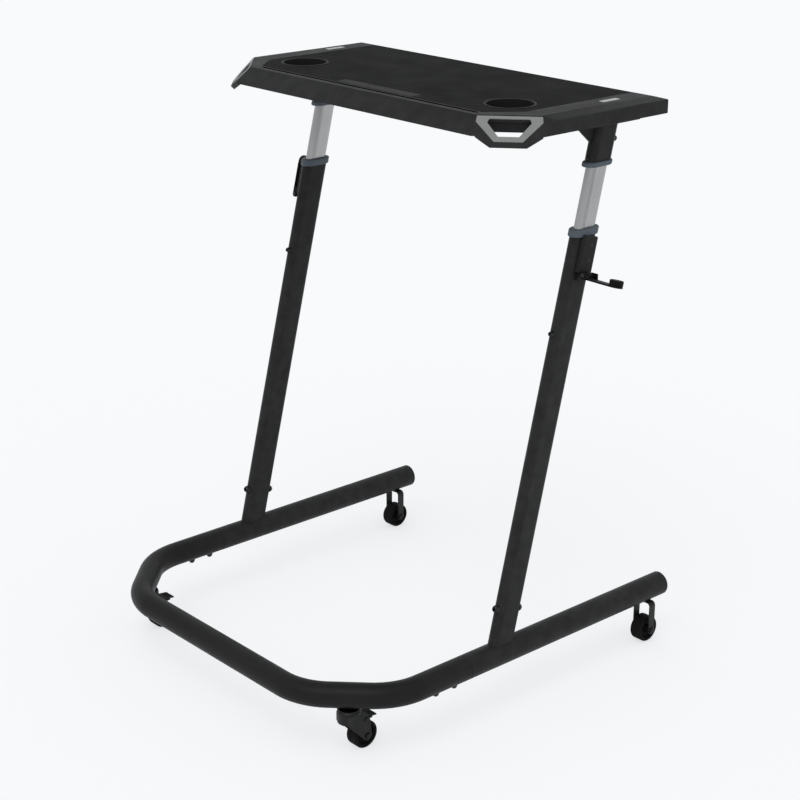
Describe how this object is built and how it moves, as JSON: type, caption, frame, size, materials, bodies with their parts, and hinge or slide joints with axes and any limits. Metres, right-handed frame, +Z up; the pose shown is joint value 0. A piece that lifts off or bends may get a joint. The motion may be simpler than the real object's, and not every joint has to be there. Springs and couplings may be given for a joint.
{
  "type": "bike trainer desk",
  "caption": "Rolling desk that straddles a bike on a trainer: U base on casters, leaning telescopic legs with cam locks, and a top with cup wells, a tablet slot and corner handles.",
  "frame": {"origin": "on the floor, under the middle of the whole outline with the right lock lever open, so the desk's own centre plane lies 32.8 mm to -X of it", "axes": "+Z up, +Y from the closed end of the U base to its open end, where the rider is, +X to the rider's left as the rider faces the closed end"},
  "size_m": [0.8668, 0.8064, 1.0589],
  "materials": {
    "powder_black": "fine-textured satin powder coat",
    "caster_black": "satin black",
    "bolt_black": "black oxide",
    "plated_steel": "dull plated",
    "aluminium": "satin anodised with lengthwise grooves",
    "moulded_black": "fine-grained matt",
    "cup_black": "matt",
    "collar_grey": "matt blue-grey",
    "trim_grey": "satin",
    "strip_grey": "matt",
    "mat_black": "fine-woven writing mat",
    "board_black": "painted board",
    "silver": "satin silver",
    "tyre_black": "matt rubber tread"
  },
  "bodies": {
    "base": {"base_front_tube": "powder_black", "rail_left": "powder_black", "rail_right": "powder_black", "rail_plug_left": "moulded_black", "rail_plug_right": "moulded_black", "rail_bolts_left": "bolt_black", "rail_bolts_right": "bolt_black", "leg_tube_left": "powder_black", "leg_tube_right": "powder_black", "leg_bolt_left": "bolt_black", "leg_bolt_right": "bolt_black", "guide_screw_left": "bolt_black", "guide_screw_right": "bolt_black", "lower_collar_left": "collar_grey", "lower_collar_right": "collar_grey", "lock_housing_left": "powder_black", "lock_housing_right": "powder_black", "lever_pin_left": "bolt_black", "lever_pin_right": "bolt_black", "front_caster_stem_left": "plated_steel", "front_caster_stem_right": "plated_steel", "rear_caster_fork_left": "caster_black", "rear_caster_fork_right": "caster_black", "rear_caster_axle_left": "plated_steel", "rear_caster_axle_right": "plated_steel"},
    "desk": {"desk_frame": "moulded_black", "desk_base_panel": "board_black", "desk_mat": "mat_black", "tablet_strip": "strip_grey", "inner_tube_left": "aluminium", "inner_tube_right": "aluminium", "inner_bush_left": "moulded_black", "inner_bush_right": "moulded_black", "upper_collar_left": "collar_grey", "upper_collar_right": "collar_grey", "upper_tube_left": "powder_black", "upper_tube_right": "powder_black", "cup_liner_left": "cup_black", "cup_liner_right": "cup_black", "handle_trim_left": "trim_grey", "handle_trim_right": "trim_grey", "inlay_plate_left": "silver", "inlay_plate_right": "silver"},
    "lever_left": {"lock_lever_left": "powder_black", "lever_knob_left": "moulded_black"},
    "lever_right": {"lock_lever_right": "powder_black", "lever_knob_right": "moulded_black"},
    "plunger_left": {"lock_pad_left": "moulded_black"},
    "plunger_right": {"lock_pad_right": "moulded_black"},
    "swivel_left": {"front_caster_fork_left": "caster_black", "front_caster_axle_left": "plated_steel"},
    "swivel_right": {"front_caster_fork_right": "caster_black", "front_caster_axle_right": "plated_steel"},
    "front_wheel_left": {"front_caster_wheel_left": "tyre_black"},
    "front_wheel_right": {"front_caster_wheel_right": "tyre_black"},
    "brake_left": {"brake_pedal_left": "moulded_black"},
    "brake_right": {"brake_pedal_right": "moulded_black"},
    "rear_wheel_left": {"rear_caster_wheel_left": "tyre_black"},
    "rear_wheel_right": {"rear_caster_wheel_right": "tyre_black"}
  },
  "joints": [
    {"name": "desk_height", "type": "slide", "parent": "base", "child": "desk", "axis": [0, 0.2407, 0.9706], "range_m": [-0.096, 0.15]},
    {"name": "lever_fold_left", "type": "hinge", "parent": "base", "child": "lever_left", "pos_m": [-0.422, 0.13796, 0.7735], "axis": [0, -0.9706, 0.2407], "range_deg": [0, 90]},
    {"name": "lever_fold_right", "type": "hinge", "parent": "base", "child": "lever_right", "pos_m": [0.3564, 0.13796, 0.7735], "axis": [0, -0.9706, 0.2407], "range_deg": [0, 90]},
    {"name": "plunger_slide_left", "type": "slide", "parent": "base", "child": "plunger_left", "axis": [-1, 0, 0], "range_m": [0, 0.0008]},
    {"name": "plunger_slide_right", "type": "slide", "parent": "base", "child": "plunger_right", "axis": [-1, 0, 0], "range_m": [0, 0.0008]},
    {"name": "caster_swivel_left", "type": "hinge", "parent": "base", "child": "swivel_left", "pos_m": [-0.3338, -0.32203, 0.0667], "axis": [0, 0, 1], "continuous": true},
    {"name": "caster_swivel_right", "type": "hinge", "parent": "base", "child": "swivel_right", "pos_m": [0.2682, -0.32203, 0.0667], "axis": [0, 0, 1], "continuous": true},
    {"name": "front_wheel_spin_left", "type": "hinge", "parent": "swivel_left", "child": "front_wheel_left", "pos_m": [-0.3338, -0.29402, 0.025], "axis": [1, 0, 0], "continuous": true},
    {"name": "front_wheel_spin_right", "type": "hinge", "parent": "swivel_right", "child": "front_wheel_right", "pos_m": [0.2682, -0.29402, 0.025], "axis": [1, 0, 0], "continuous": true},
    {"name": "brake_press_left", "type": "hinge", "parent": "swivel_left", "child": "brake_left", "pos_m": [-0.3338, -0.29702, 0.0577], "axis": [-1, 0, 0], "range_deg": [0, 14]},
    {"name": "brake_press_right", "type": "hinge", "parent": "swivel_right", "child": "brake_right", "pos_m": [0.2682, -0.29702, 0.0577], "axis": [-1, 0, 0], "range_deg": [0, 14]},
    {"name": "rear_wheel_spin_left", "type": "hinge", "parent": "base", "child": "rear_wheel_left", "pos_m": [-0.3928, 0.36418, 0.025], "axis": [1, 0, 0], "continuous": true},
    {"name": "rear_wheel_spin_right", "type": "hinge", "parent": "base", "child": "rear_wheel_right", "pos_m": [0.3272, 0.36418, 0.025], "axis": [1, 0, 0], "continuous": true}
  ],
  "couplings": [
    {"joint": "plunger_slide_left", "follows": "lever_fold_left", "m_per_rad": 0.000509},
    {"joint": "plunger_slide_right", "follows": "lever_fold_right", "m_per_rad": 0.000509}
  ]
}
